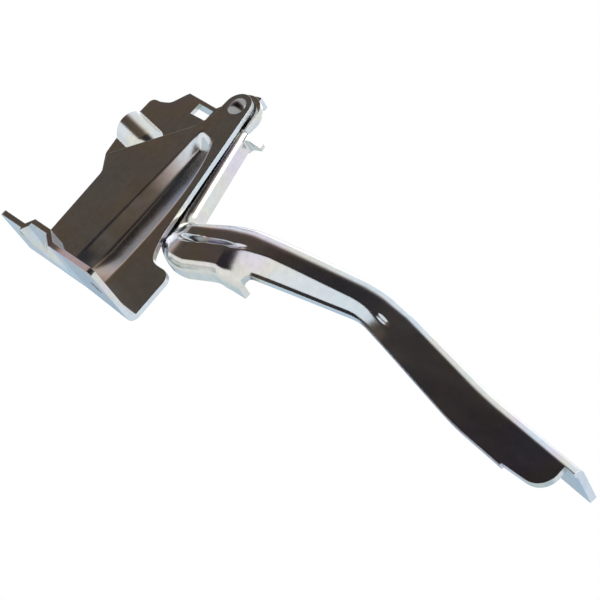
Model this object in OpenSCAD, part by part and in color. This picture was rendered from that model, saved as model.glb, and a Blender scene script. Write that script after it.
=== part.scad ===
// Gooseneck hood hinge: a body bracket of two stamped plates and one swinging arm.
// Origin: middle of the foot's bolt holes, on the face that meets the body.
// X runs along the foot towards the arm's tail, Y away from the front plate, Z up.

/* [Sheet] */
// Thickness of the front bracket plate and its foot
front_t = 3.5; // [3:0.25:4.5]
// Thickness of the arm stamping
arm_t = 4; // [3:0.25:4.5]
// Thickness of the rear bracket plate
rear_t = 3; // [2.5:0.25:4]

/* [Foot] */
// Length of the foot along its bend
foot_len = 104; // [98:1:112]
// Depth of the foot at its left end, from the plate's front face
foot_depth_left = 38; // [34:1:42]
// Depth of the foot at its right end, from the plate's front face
foot_depth_right = 48; // [43:1:52]
// Drop of the foot's right end, which slopes away from the mating face
foot_drop = 2; // [0:0.5:4]
// Radius of the foot's free corners
foot_corner_r = 5; // [2:0.5:8]
// Inner radius of the bend between foot and plate
foot_bend_r = 3; // [2:0.5:5]
// Distance between the two bolt holes
foot_bolt_spacing = 74; // [70:1:82]
// Distance of the bolt holes from the plate's front face
foot_bolt_setback = 24; // [21:1:27]
// Diameter of the bolt holes
foot_bolt_d = 9; // [6.5:0.5:11]
// Height of the raised channel across the foot
channel_h = 5.5; // [3:0.5:6.5]
// Width of the channel's flat top
channel_top_w = 16; // [12:1:18]
// Width of the channel's left ramp
channel_ramp_left_w = 4; // [3:0.5:5]
// Width of the channel's right ramp
channel_ramp_right_w = 9; // [6:0.5:12]
// Middle of the channel along the foot
channel_x = -17; // [-18:0.5:-14]

/* [Front plate] */
// Height of the pivot above the foot's mating face
pivot_z = 146; // [142:1:150]
// Place of the pivot along the foot
pivot_x = -7; // [-9:1:-5]
// Radius of the front plate's ear
front_ear_r = 10; // [9:0.5:11.5]
// Height of the plate's left shoulder corner
shoulder_z = 78; // [72:1:84]
// Place of the plate's left shoulder corner
shoulder_x = -64; // [-68:1:-60]
// Height of the plate's wide base on the right
base_z = 35; // [32:1:37]
// Depth of the pressed rib
rib_depth = 7; // [4:0.5:8]
// Height at which the rib closes under the ear
rib_top_z = 121; // [114:1:124]
// Width of the rib at the foot
rib_foot_w = 33; // [28:1:36]
// Width of the rib at its closed end
rib_top_w = 11; // [8:1:14]

/* [Rear plate] */
// Radius of the rear plate's ear
rear_ear_r = 11; // [10:0.5:12]
// Height of the rear plate's crest
crest_z = 144; // [141:1:147]
// Left edge of the rear plate
rear_left_x = -82; // [-86:1:-78]
// Depth of the rear plate's top flange
rear_flange_d = 9; // [6:1:14]
// Radius of the curved flange that passes over the ear
lug_r = 17; // [16:0.5:19]
// Width of the half-round bead
bead_w = 22; // [18:1:24]
// Height of the half-round bead
bead_h = 6.5; // [4:0.5:7]
// Height of the bead's axis at the left edge
bead_z = 106; // [103:1:108]

/* [Pivot] */
// Diameter of the rivet's shank
rivet_d = 8; // [6:0.5:10]
// Diameter of the rivet's heads
rivet_head_d = 13; // [11:0.5:15]
// Height of the rivet's domed head
rivet_head_h = 3; // [2:0.25:4]
// Wall of the bush between rivet and arm
bush_wall = 1; // [0.75:0.25:1.5]
// Radial running clearance between arm and bush
bush_clearance = 0.05; // [0.02:0.01:0.1]
// Thickness of each spacing washer
washer_t = 1.5; // [1:0.25:2]
// Diameter of each spacing washer
washer_d = 18; // [16:1:20]

/* [Arm] */
// Radius of the arm's ear
arm_ear_r = 13.5; // [12.5:0.5:14.5]
// Length of the neck from the ear to the gooseneck's corner
neck_len = 74; // [70:1:78]
// Lean of the neck from the vertical
neck_lean = 15; // [13:0.5:17]
// Width of the neck
neck_w = 12.5; // [11.5:0.5:13]
// Length of the rise out of the corner
rise_len = 45; // [42:1:49]
// Slope of the rise
rise_angle = 26.5; // [24:0.5:29]
// Length of the middle of the arm
middle_len = 100; // [90:1:112]
// Slope of the middle of the arm
middle_angle = 5.2; // [4:0.2:7]
// Length of the drop to the tail
drop_len = 98; // [88:1:110]
// Slope of the drop
drop_angle = -13; // [-15:0.5:-11]
// Length of the tail
tail_len = 65; // [58:1:74]
// Slope of the tail
tail_angle = -7.8; // [-9.4:0.2:-6.2]
// Height of the arm's section at its middle
middle_w = 29; // [27:0.5:31]
// Height of the arm's section at its tail
tail_w = 24.5; // [23:0.5:26]
// Depth of the top flange at the neck
neck_flange_d = 7.5; // [6:0.5:10]
// Depth of the top flange at the tail
tail_flange_d = 25; // [21:1:28]
// Depth of the groove between the arm's two ridges
groove_depth = 5; // [2:0.5:5.5]
// How far the gooseneck's corner stands out towards the front
joggle = 6.5; // [4:0.5:7.5]
// Depth of the bottom flange under the corner
bottom_flange_d = 7; // [5:0.5:9]
// Diameter of the hood bolt holes
hood_bolt_d = 9; // [6.5:0.5:11]
// Distance between the hood bolt holes
hood_bolt_spacing = 66; // [60:1:74]
// Reach of the small lip at the neck's top
lip_len = 8; // [6:0.5:10]

/* [Hidden] */
$fn = 64;
arc_steps = 10;
far = 400;
pivot = [pivot_x, pivot_z];
bush_d = rivet_d + 2 * bush_wall;

// Levels along Y, each face on the last
arm_y = front_t + washer_t;
arm_back_y = arm_y + arm_t;
rear_y = arm_back_y + washer_t;
rear_back_y = rear_y + rear_t;

// Plane geometry helpers
function unit(v) = v / norm(v);
function turned(v, a) = [v[0] * cos(a) - v[1] * sin(a), v[0] * sin(a) + v[1] * cos(a)];
function heading(v) = atan2(v[1], v[0]);
function between(a, b, t) = a + (b - a) * t;
function ease(t) = let (c = max(0, min(1, t))) c * c * (3 - 2 * c);
function arc(centre, r, from, to, steps = arc_steps) =
    [for (i = [0:steps]) centre + r * [cos(from + (to - from) * i / steps), sin(from + (to - from) * i / steps)]];
// Signed turn from one direction to another, -180 to 180
function turn(u, w) = atan2(u[0] * w[1] - u[1] * w[0], u[0] * w[0] + u[1] * w[1]);
// Corner b of the path a, b, c rounded with radius r
function rounded(a, b, c, r, steps = arc_steps) =
    let (u = unit(b - a), w = unit(c - b), t = turn(u, w), side = t > 0 ? 1 : -1,
         start = b - u * r * tan(abs(t) / 2), centre = start + side * r * [-u[1], u[0]])
    [for (i = [0:steps]) centre + turned(start - centre, t * i / steps)];
// Open path with one radius for each corner, 0 for a sharp one, and for its two ends
function rounded_path(p, r) =
    [for (i = [0:len(p) - 1])
        each r[i] == 0 ? [p[i]] : rounded(p[i - 1], p[i], p[i + 1], r[i], 6)];

// A plate cut from an outline in the X-Z plane, from y0 to y1
module plate_xz(outline, y0, y1) {
    translate([0, y1, 0])
        rotate([90, 0, 0])
            linear_extrude(height = y1 - y0)
                polygon(outline);
}

module rod_y(r, y0, y1, at = pivot) {
    translate([at[0], y0, at[1]])
        rotate([-90, 0, 0])
            cylinder(r = r, h = y1 - y0);
}

// Sheet metal from a grid of points on one face: the other face lies t along the grid's normals
function grid_normal(g, i, j) =
    let (a = g[min(i + 1, len(g) - 1)][j] - g[max(i - 1, 0)][j],
         b = g[i][min(j + 1, len(g[0]) - 1)] - g[i][max(j - 1, 0)])
    unit(cross(a, b));
module sheet(g, t) {
    n = len(g);
    m = len(g[0]);
    front = [for (i = [0:n - 1]) for (j = [0:m - 1]) g[i][j]];
    back = [for (i = [0:n - 1]) for (j = [0:m - 1]) g[i][j] + t * grid_normal(g, i, j)];
    function at(i, j) = i * m + j;
    all = n * m;
    faces = concat(
        [for (i = [0:n - 2]) for (j = [0:m - 2])
            each [[at(i, j), at(i, j + 1), at(i + 1, j + 1)], [at(i, j), at(i + 1, j + 1), at(i + 1, j)]]],
        [for (i = [0:n - 2]) for (j = [0:m - 2])
            each [[all + at(i, j), all + at(i + 1, j + 1), all + at(i, j + 1)],
                  [all + at(i, j), all + at(i + 1, j), all + at(i + 1, j + 1)]]],
        [for (i = [0:n - 2]) each [
            [at(i, 0), at(i + 1, 0), all + at(i + 1, 0)], [at(i, 0), all + at(i + 1, 0), all + at(i, 0)],
            [at(i, m - 1), all + at(i + 1, m - 1), at(i + 1, m - 1)],
            [at(i, m - 1), all + at(i, m - 1), all + at(i + 1, m - 1)]]],
        [for (j = [0:m - 2]) each [
            [at(0, j), all + at(0, j + 1), at(0, j + 1)], [at(0, j), all + at(0, j), all + at(0, j + 1)],
            [at(n - 1, j), at(n - 1, j + 1), all + at(n - 1, j + 1)],
            [at(n - 1, j), all + at(n - 1, j + 1), all + at(n - 1, j)]]]);
    polyhedron(points = concat(front, back), faces = [for (f = faces) [f[2], f[1], f[0]]], convexity = 8);
}

// Front bracket plate

half_foot = foot_len / 2;
// The rib's edges and its deepest line lean with the ear
rib_foot_x = -19;
function rib_left(z) = between(rib_foot_x, pivot_x - rib_top_w / 2 - 3, z / rib_top_z);
function rib_right(z) = between(rib_foot_x + rib_foot_w, pivot_x + rib_top_w / 2 - 1, pow(z / rib_top_z, 4));
function rib_valley(z) = between(rib_left(z), rib_right(z), 0.36 - 0.16 * z / rib_top_z);
// A ramp from 0 at s = 0 to s, softened over r on each side of 0
function soft_ramp(s, r) = s < -r ? 0 : s > r ? s : pow(s + r, 2) / (4 * r);
function soft_min(a, b, r) = abs(a - b) > r ? min(a, b) : min(a, b) - pow(r - abs(a - b), 2) / (4 * r);
rib_edge_soft = 0.12;
function rib_profile(x, z) =
    let (left = (x - rib_left(z)) / (rib_valley(z) - rib_left(z)),
         right = (rib_right(z) - x) / (rib_right(z) - rib_valley(z)))
    min(1, soft_min(soft_ramp(left, rib_edge_soft), soft_ramp(right, rib_edge_soft / 2), 0.3) * 1.08);
function rib_fade(z) = ease((rib_top_z - z) / 9) * between(0.35, 1, ease(z / (base_z - 5)));
function rib_y(x, z) = rib_depth * rib_fade(z) * rib_profile(x, z);
// The channel's height over the foot, fading out before the bend
function channel_z(x, y) =
    let (left = (x - channel_x + channel_top_w / 2) / channel_ramp_left_w + 1,
         right = (channel_x + channel_top_w / 2 - x) / channel_ramp_right_w + 1)
    channel_h * min(1, soft_ramp(min(left, right), 0.08)) * ease((-y - 8) / 16);
// The right land slopes down towards its end, and its free edge flares out
slope_x = 7;
function end_ramp(x) = soft_ramp((x - slope_x) / (half_foot - slope_x), 0.12);
function drop(x) = foot_drop * end_ramp(x);
function foot_edge(x) = -between(foot_depth_left, foot_depth_right, end_ramp(x));

column_left = shoulder_x - 6;
column_right = half_foot + 4;
rib_columns = [-0.13, 0, 0.13, 0.5, 0.85, 1];
rib_columns_right = [0.15, 0.55, 0.94, 1, 1.06];
// Columns that follow the rib on the plate and the channel on the foot
function plate_columns(z) = concat(
    [column_left, between(column_left, rib_left(z), 0.6)],
    [for (c = rib_columns) between(rib_left(z), rib_valley(z), c)],
    [for (c = rib_columns_right) between(rib_valley(z), rib_right(z), c)],
    [between(rib_right(z), column_right, 0.5), column_right]);
channel_left = channel_x - channel_top_w / 2;
channel_right = channel_x + channel_top_w / 2;
function foot_columns() = concat(
    [column_left, between(column_left, channel_left - channel_ramp_left_w, 0.6)],
    [for (c = [1.15, 1, 0.85, 0.5, 0.12]) channel_left - c * channel_ramp_left_w],
    [channel_left + 0.5, channel_right],
    [for (c = [0.1, 0.5, 0.93, 1.07]) channel_right + c * channel_ramp_right_w],
    [between(channel_right + channel_ramp_right_w, column_right, 0.5), column_right]);

bend_steps = 5;
bend_z = front_t + foot_bend_r;
plate_rows = [for (z = [bend_z + 6:7:rib_top_z - 14]) z];
foot_rows = [1, 0.86, 0.72, 0.58, 0.44, 0.3, 0.16];

// The front face: the foot's top, the bend and the plate with its rib
front_grid = concat(
    [for (f = foot_rows) [for (x = foot_columns()) let (y = foot_edge(x) * f - foot_bend_r * (1 - f))
        [x, y, front_t + channel_z(x, y) - drop(x)]]],
    [for (i = [0:bend_steps]) let (a = 90 * i / bend_steps, w = i / bend_steps)
        [for (c = [0:len(foot_columns()) - 1])
            let (x = between(foot_columns()[c], plate_columns(bend_z)[c], ease(w)), d = rib_y(x, bend_z) * w)
            [x, d - foot_bend_r + foot_bend_r * sin(a), bend_z - foot_bend_r * cos(a) - drop(x)]]],
    [for (z = plate_rows) [for (x = plate_columns(z)) [x, rib_y(x, z), z - drop(x) * ease((base_z - z) / base_z)]]],
    [for (z = [rib_top_z - 11, rib_top_z - 8, rib_top_z - 5, rib_top_z - 2, rib_top_z + 1, rib_top_z + 8])
        [for (x = plate_columns(z)) [x, rib_y(x, z), z]]],
    [[for (x = plate_columns(rib_top_z + 8)) [x, 0, pivot_z + 2 * front_ear_r]]]);

// The plate's outline from the foot round the ear and back
ear_right_angle = 11;
ear_left_angle = 177;
ear_right = pivot + front_ear_r * [cos(ear_right_angle), sin(ear_right_angle)];
ear_left = pivot + front_ear_r * [cos(ear_left_angle), sin(ear_left_angle)];
front_outline = concat(
    rounded_path([
        [-half_foot, -far / 10], [half_foot, -far / 10], [half_foot - 3, base_z - 0.5],
        [30.5, base_z - 0.5], [23, base_z + 13], ear_right], [0, 0, 7, 9, 60, 0]),
    arc(pivot, front_ear_r, ear_right_angle, ear_left_angle, 16),
    rounded_path([
        ear_left, [pivot_x - 10.3, pivot_z - 13], [pivot_x - 16, rib_top_z + 0.5],
        [shoulder_x, shoulder_z], [shoulder_x + 8, shoulder_z - 12], [-half_foot - 1, 17],
        [-half_foot, -far / 10]],
        [0, 12, 14, 1.5, 12, 100, 0]));
foot_outline = rounded_path([
    [-half_foot, -5], [-half_foot, foot_edge(-half_foot)], [slope_x, foot_edge(slope_x)],
    [half_foot, foot_edge(half_foot)], [half_foot, far / 4], [column_left - 5, far / 4], [column_left - 5, -5]],
    [0, foot_corner_r / 2, 20, foot_corner_r, 0, 0, 0]);

module front_bracket_plate() {
    color("dimgray")
        translate([0, foot_bolt_setback, 0])
            difference() {
                intersection() {
                    sheet(front_grid, front_t);
                    plate_xz(front_outline, -far / 4, far / 8);
                    translate([0, 0, -far / 8])
                        linear_extrude(height = far)
                            polygon(foot_outline);
                }
                rod_y(rivet_d / 2, -far / 8, far / 8);
                for (side = [-1, 1])
                    translate([side * foot_bolt_spacing / 2, -foot_bolt_setback, -far / 8])
                        cylinder(d = foot_bolt_d, h = far / 4);
            }
}

// Rear bracket plate

bead_tilt = -10;
// The bead is the cap of a cylinder whose chord is the bead's width
bead_r = (pow(bead_w / 2, 2) + pow(bead_h, 2)) / (2 * bead_h);
bead_start = [rear_left_x - 4, bead_z];
bead_len = 30;
module bead_core(r) {
    translate([bead_start[0], rear_y - bead_h + bead_r, bead_start[1]])
        rotate([0, -bead_tilt, 0]) {
            rotate([0, 90, 0])
                cylinder(r = r, h = bead_len);
            translate([bead_len, 0, 0])
                sphere(r = r);
        }
}
window_left = -45.5;
window_right = -31;
window_z = crest_z - 12;
lug_from = 90;
lug_to = 150;
rear_outline = concat(
    rounded_path([
        [-30, 24], [4, 24], [8, 60], [2, pivot_z - 26], pivot + rear_ear_r * [cos(-8), sin(-8)]],
        [0, 8, 60, 40, 0]),
    arc(pivot, rear_ear_r, -8, lug_from - 6, 10),
    arc(pivot, lug_r, lug_from, lug_to, 12),
    rounded_path([
        [window_right, crest_z - 1], [-59, crest_z], [-66, crest_z - 12], [-74, crest_z - 14.5],
        [rear_left_x, crest_z - 15], [rear_left_x, crest_z - 44], [rear_left_x + 4, shoulder_z + 3],
        [-61, 60], [-30, 24]], [0, 4, 8, 12, 4, 40, 6, 14, 0]));
module crest_flange() {
    // Straight part over the window
    plate_xz([[-59, crest_z - rear_t], [window_right, crest_z - 1 - rear_t], [window_right, crest_z - 1],
              [-59, crest_z]], rear_y, rear_y + rear_flange_d);
    // Curved part over the ear
    plate_xz(concat(arc(pivot, lug_r, lug_from, lug_to, 12), arc(pivot, lug_r - rear_t, lug_to, lug_from, 12)),
             rear_y, rear_y + rear_flange_d);
}
module rear_bracket_plate() {
    color("slategray")
        translate([0, foot_bolt_setback, 0])
            difference() {
                union() {
                    plate_xz(rear_outline, rear_y, rear_back_y);
                    crest_flange();
                    intersection() {
                        bead_core(bead_r);
                        plate_xz([[rear_left_x, 80], [0, 80], [0, 135], [rear_left_x, 135]],
                                 rear_y - bead_h - 1, rear_y + 1);
                    }
                }
                intersection() {
                    bead_core(bead_r - rear_t);
                    plate_xz([[-far, 0], [far, 0], [far, far], [-far, far]], 0, rear_back_y + 1);
                }
                plate_xz([[window_left, window_z], [window_right, window_z],
                          [window_right, crest_z - 1 - rear_t], [window_left, crest_z - 0.5 - rear_t]],
                         rear_y - 1, rear_back_y + 1);
                rod_y(rivet_d / 2, rear_y - 1, rear_back_y + 1);
            }
}

// Pivot

module pivot_rivet() {
    dome_r = (pow(rivet_head_d / 2, 2) + pow(rivet_head_h, 2)) / (2 * rivet_head_h);
    head_profile = concat([[0, 0]], [for (i = [0:8]) let (a = asin(rivet_head_d / 2 / dome_r) * (1 - i / 8))
        [dome_r * sin(a), rivet_head_h - dome_r + dome_r * cos(a)]]);
    color("lightsteelblue")
        translate([pivot_x, foot_bolt_setback, pivot_z]) {
            rotate([-90, 0, 0])
                cylinder(d = rivet_d, h = rear_back_y);
            rotate([90, 0, 0])
                rotate_extrude()
                    polygon(head_profile);
            translate([0, rear_back_y, 0])
                rotate([-90, 0, 0])
                    cylinder(d = rivet_head_d, h = rivet_head_h * 0.7);
        }
}

module pivot_bush() {
    color("darkgoldenrod")
        translate([0, foot_bolt_setback, 0])
            difference() {
                rod_y(bush_d / 2, front_t, rear_y);
                rod_y(rivet_d / 2, front_t - 1, rear_y + 1);
            }
}

module washer(y0) {
    translate([0, foot_bolt_setback, 0])
        difference() {
            rod_y(washer_d / 2, y0, y0 + washer_t);
            rod_y(bush_d / 2, y0 - 1, y0 + washer_t + 1);
        }
}

// Hood arm

// Vertices of the line where the top flange's outer face runs
neck_dir = [sin(neck_lean), -cos(neck_lean)];
neck_top = pivot + [14.6, -9];
corner_in = neck_top + neck_dir * neck_len;
rise_end = corner_in + rise_len * [cos(rise_angle), sin(rise_angle)];
middle_end = rise_end + middle_len * [cos(middle_angle), sin(middle_angle)];
drop_end = middle_end + drop_len * [cos(drop_angle), sin(drop_angle)];
tail_end = drop_end + tail_len * [cos(tail_angle), sin(tail_angle)];
corner_r = 9;
crown_r = 70;
sweep_r = 260;

// Straight run between two points, without its ends
function run(a, b, step) = let (n = max(1, ceil(norm(b - a) / step)))
    n == 1 ? [] : [for (i = [1:n - 1]) between(a, b, i / n)];
turn_corner = rounded(neck_top, corner_in, rise_end, corner_r, 12);
turn_rise = rounded(corner_in, rise_end, middle_end, crown_r, 3);
turn_crown = rounded(rise_end, middle_end, drop_end, crown_r, 5);
turn_drop = rounded(middle_end, drop_end, tail_end, sweep_r, 3);
step = 9;
spine = concat([neck_top], run(neck_top, turn_corner[0], step), turn_corner,
    run(turn_corner[12], turn_rise[0], step), turn_rise, run(turn_rise[3], turn_crown[0], step), turn_crown,
    run(turn_crown[5], turn_drop[0], step), turn_drop, run(turn_drop[3], tail_end, step), [tail_end]);
spine_s = [for (i = 0, s = 0; i < len(spine); i = i + 1, s = s + (i < len(spine) ? norm(spine[i] - spine[i - 1]) : 0)) s];
// Places along the spine, as lengths from the neck's top
s_neck = spine_s[len(run(neck_top, turn_corner[0], step)) + 1];
s_corner = s_neck + norm(turn_corner[0] - turn_corner[1]) * 12;
s_rise = s_corner + norm(rise_end - corner_in) - 12;
s_crown = s_rise + middle_len;
s_drop = s_crown + drop_len;
s_tail = spine_s[len(spine) - 1];
function spine_dir(i) = unit(spine[min(i + 1, len(spine) - 1)] - spine[max(i - 1, 0)]);
function spine_down(i) = let (d = spine_dir(i)) [d[1], -d[0]];

// How each size of the section changes along the arm
trim_extra = 7;
function web_w(s) = lookup(s, [
    [0, neck_w], [s_neck, neck_w], [between(s_neck, s_corner, 0.35), neck_w + 7],
    [between(s_neck, s_corner, 0.7), neck_w + 15], [s_corner, neck_w + 20.5], [between(s_corner, s_rise, 0.5), 34.5],
    [s_rise, 37], [s_rise + 26, 37], [s_crown + 20, tail_w + trim_extra], [s_tail, tail_w + trim_extra]]);
function flange_d(s) = lookup(s, [
    [0, neck_flange_d], [s_corner, neck_flange_d], [s_rise, between(neck_flange_d, tail_flange_d, 0.4)],
    [s_crown, tail_flange_d], [s_tail, tail_flange_d]]);
function flange_r(s) = lookup(s, [
    [0, arm_t + 1.5], [s_corner, arm_t + 2], [s_rise, arm_t + 6], [s_crown, arm_t + 5],
    [s_crown + 30, arm_t + 1.5], [s_tail, arm_t + 1.5]]);
// The joggle starts clear of the front plate's edge and fades along the middle
joggle_x = 26.5;
joggle_run = 11;
joggle_fade = 0.75;
function stand_out(x) = joggle * ease((x - joggle_x) / joggle_run) * (1 - joggle_fade * ease((x - 85) / middle_len));
function groove(s) = groove_depth * lookup(s, [
    [0, 0], [s_corner - 4, 0], [s_corner + 6, 1], [s_rise, 1], [s_rise + 25, 0.5], [s_crown - 8, 0.45],
    [s_crown + 14, 0.6], [s_crown + 24, 0], [s_tail, 0]]);
function groove_a(s) = lookup(s, [[0, 7], [s_corner, 13], [s_rise, 17], [s_rise + 30, 14], [s_tail, 14]]);
function slant(s) = lookup(s, [
    [0, 0], [s_rise, 0], [s_rise + 30, 0.42], [s_crown - 10, 0.42], [s_crown + 24, 0], [s_tail, 0]]);
function bottom_bend(s) = lookup(s, [
    [0, 0], [between(s_neck, s_corner, 0.45), 0], [between(s_neck, s_corner, 0.8), 1], [s_rise + 26, 1],
    [s_rise + 60, 0], [s_tail, 0]]);

// The section at one station: [distance from the flange's face, depth along Y] pairs
bottom_r = arm_t + 2;
groove_half = 3.2;
edge_step = 0.6;
function section(s, x) =
    let (r = flange_r(s), y0 = arm_y - stand_out(x), g = groove(s), ga = groove_a(s), b = bottom_bend(s),
         first = atan(slant(s)), last = first + (90 - first) * b,
         leg = between(edge_step, bottom_r * PI / 8, b), tip = between(edge_step, bottom_flange_d, b),
         heads = [for (i = [0:3]) first + (90 - first) * b * (i + 0.5) / 4],
         a_end = web_w(s) - leg * (cos(heads[0]) + cos(heads[1]) + cos(heads[2]) + cos(heads[3])) - tip * cos(last),
         e = min(edge_step, (a_end - r) / 5),
         from = max(r + e, min(ga - groove_half, a_end - 2 * e)), to = min(a_end - e, max(ga + groove_half, from + e)),
         y_at = function (a) y0 + g * pow(max(0, 1 - pow((a - ga) / groove_half, 2)), 2)
             + slant(s) * soft_ramp(a - ga - 2, 2),
         web = concat([between(r, from, 0.5)], [for (t = [0, 0.25, 0.5, 0.75, 1]) between(from, to, t)],
             [for (t = [0.5, 1]) between(to, a_end, t)]),
         y_end = y_at(a_end),
         tail_a = [for (i = 0, a = a_end; i < 4; a = a + leg * cos(heads[i]), i = i + 1) a + leg * cos(heads[i])],
         tail_y = [for (i = 0, y = y_end; i < 4; y = y + leg * sin(heads[i]), i = i + 1) y + leg * sin(heads[i])])
    concat([[0, y0 + r + flange_d(s)], [0, y0 + r + flange_d(s) / 2]],
        [for (i = [0:4]) [r * (1 - cos(22.5 * i)), y0 + r * (1 - sin(22.5 * i))]],
        [for (a = web) [a, y_at(a)]],
        [for (i = [0:3]) [tail_a[i], tail_y[i]]],
        [[tail_a[3] + tip * cos(last), tail_y[3] + tip * sin(last)]]);
arm_grid = [for (i = [0:len(spine) - 1])
    let (down = spine_down(i), sec = section(spine_s[i], spine[i][0]))
    [for (q = sec) [spine[i][0] + q[0] * down[0], q[1], spine[i][1] + q[0] * down[1]]]];

// The lower edge behind the corner's relief notch, and the web's rounded end
hood_dir = unit(tail_end - drop_end);
drop_dir = unit(drop_end - middle_end);
middle_dir = unit(middle_end - rise_end);
function below(p, dir, w) = p + w * turned(dir, -90);
edge_start = below(rise_end + 19 * middle_dir, middle_dir, middle_w);
lower_cut = rounded_path([
    [edge_start[0], -far / 4], edge_start - [0, 4], edge_start + [2, 0.2], below(middle_end, middle_dir, tail_w - 0.5),
    below(drop_end, drop_dir, tail_w), below(tail_end, hood_dir, tail_w) + 40 * hood_dir,
    [tail_end[0] + 40, -far / 4]],
    [0, 1, 1, 30, 200, 0, 0]);
web_end = 6;
web_end_len = 31;
web_end_step = 1.2;
end_cut = concat(rounded_path([
    below(tail_end, hood_dir, tail_w + 8) - web_end_len * hood_dir,
    below(tail_end, hood_dir, tail_w - web_end_step) - web_end_len * hood_dir,
    below(tail_end, hood_dir, tail_w - 3 * web_end_step) - (web_end - 1) * hood_dir,
    below(tail_end, hood_dir, arm_t + 1) - web_end * hood_dir], [0, 0, 11, 0]),
    [below(tail_end, hood_dir, arm_t + 1) + 20 * hood_dir, below(tail_end, hood_dir, tail_w + 8) + 20 * hood_dir]);

hood_hole_y = arm_y + arm_t + 1.5 + tail_flange_d * 0.52;
hood_hole_front = drop_end + hood_dir * (tail_len * 0.62);
hood_hole_rear = drop_end - drop_dir * (hood_bolt_spacing - tail_len * 0.62);
module hood_hole(at, dir) {
    translate([at[0], hood_hole_y, at[1]])
        rotate([0, -heading(dir), 0])
            cylinder(d = hood_bolt_d, h = 4 * arm_t, center = true);
}

// The ear and the shoulder that joins it to the neck
arm_shoulder = concat(arc(pivot, arm_ear_r, 20, 200, 16),
    [neck_top + neck_dir * 12 + neck_w * [-cos(neck_lean), -sin(neck_lean)], neck_top + neck_dir * 12,
     neck_top]);

// The small lip flares outward from the end of the neck's flange; its own X points outward, its Z up the neck
lip_inset = 0.3;
lip_t = arm_t - 0.4;
lip_fillet_r = 3;
module neck_lip() {
    y_root = arm_y + flange_r(0) - 2;
    y_free = arm_y + flange_r(0) + neck_flange_d + 1.5;
    z_low = -lip_inset - lip_t;
    translate([neck_top[0], 0, neck_top[1]])
        rotate([0, -neck_lean, 0])
            intersection() {
                translate([0, y_free, 0])
                    rotate([90, 0, 0])
                        linear_extrude(height = y_free - y_root)
                            polygon(concat([[lip_inset - arm_t, -lip_inset], [lip_len, -lip_inset], [lip_len, z_low]],
                                arc([lip_fillet_r, z_low - lip_fillet_r], lip_fillet_r, 90, 180, 4),
                                [[lip_inset - arm_t, z_low - lip_fillet_r]]));
                translate([0, 0, -far / 8])
                    linear_extrude(height = far / 4)
                        polygon(rounded_path([[-arm_t, y_root], [lip_inset, y_root],
                            [lip_len - lip_inset, y_free - lip_fillet_r], [lip_len - lip_inset, y_free + 1],
                            [-arm_t, y_free + 1]], [0, 0, 2, 0, 0]));
            }
}

module hood_arm() {
    color("silver")
        translate([0, foot_bolt_setback, 0])
            difference() {
                union() {
                    difference() {
                        sheet(arm_grid, arm_t);
                        plate_xz(lower_cut, -far / 8, far / 8);
                        plate_xz(end_cut, -far / 8, arm_back_y + 0.6);
                    }
                    plate_xz(arm_shoulder, arm_y, arm_back_y);
                    neck_lip();
                }
                rod_y(bush_d / 2 + bush_clearance, 0, far / 8);
                hood_hole(hood_hole_front, hood_dir);
                hood_hole(hood_hole_rear, drop_dir);
            }
}

front_bracket_plate();
rear_bracket_plate();
pivot_rivet();
pivot_bush();
color("gainsboro") washer(front_t);  // front_washer
color("gainsboro") washer(arm_back_y);  // rear_washer
hood_arm();
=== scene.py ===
"""Looks of the gooseneck hood hinge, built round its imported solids.

The frame is the solids' own: X runs along the foot to the arm's tail, Y away
from the front plate's face, Z up. Shapes are worked out in millimetres on grids
of points and put into their meshes in metres. The three stampings are one face
given by a formula, a second face set off from it by the sheet's thickness, and
cuts with prisms, as a blanking die would make them. The turned pieces keep the
solids' own shape.
"""

import bpy
import numpy as np
from bpy.props import FloatProperty, FloatVectorProperty, PointerProperty
from mathutils import Matrix, Vector


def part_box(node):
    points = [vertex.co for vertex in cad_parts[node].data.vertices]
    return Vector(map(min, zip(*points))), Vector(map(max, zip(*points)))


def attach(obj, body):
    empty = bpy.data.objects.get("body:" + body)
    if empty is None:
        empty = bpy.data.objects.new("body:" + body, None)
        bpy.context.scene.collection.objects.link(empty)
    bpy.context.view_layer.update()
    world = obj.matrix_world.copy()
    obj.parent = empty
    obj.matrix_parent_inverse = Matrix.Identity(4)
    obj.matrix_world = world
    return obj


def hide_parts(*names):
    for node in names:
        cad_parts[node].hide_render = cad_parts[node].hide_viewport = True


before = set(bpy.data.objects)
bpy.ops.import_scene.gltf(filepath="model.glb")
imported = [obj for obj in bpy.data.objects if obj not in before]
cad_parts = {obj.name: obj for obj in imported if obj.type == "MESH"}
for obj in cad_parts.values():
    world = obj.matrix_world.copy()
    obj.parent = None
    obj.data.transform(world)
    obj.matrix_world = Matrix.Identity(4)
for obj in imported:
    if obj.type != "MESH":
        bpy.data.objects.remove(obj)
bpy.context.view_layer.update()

bl_info = {
    "name": "Hood hinge",
    "version": (1, 0, 0),
    "blender": (4, 5, 0),
    "location": "3D View > Sidebar > Hinge",
    "description": "Stamped sheets, pivot pieces, zinc finish and studio of a gooseneck hood hinge",
    "category": "Add Mesh",
}

MM = 0.001
PIVOT_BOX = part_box("pivot_bush")
PIVOT_X = (PIVOT_BOX[0].x + PIVOT_BOX[1].x) / 2 / MM
PIVOT_Z = (PIVOT_BOX[0].z + PIVOT_BOX[1].z) / 2 / MM
PIVOT = np.array([PIVOT_X, PIVOT_Z])

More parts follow.
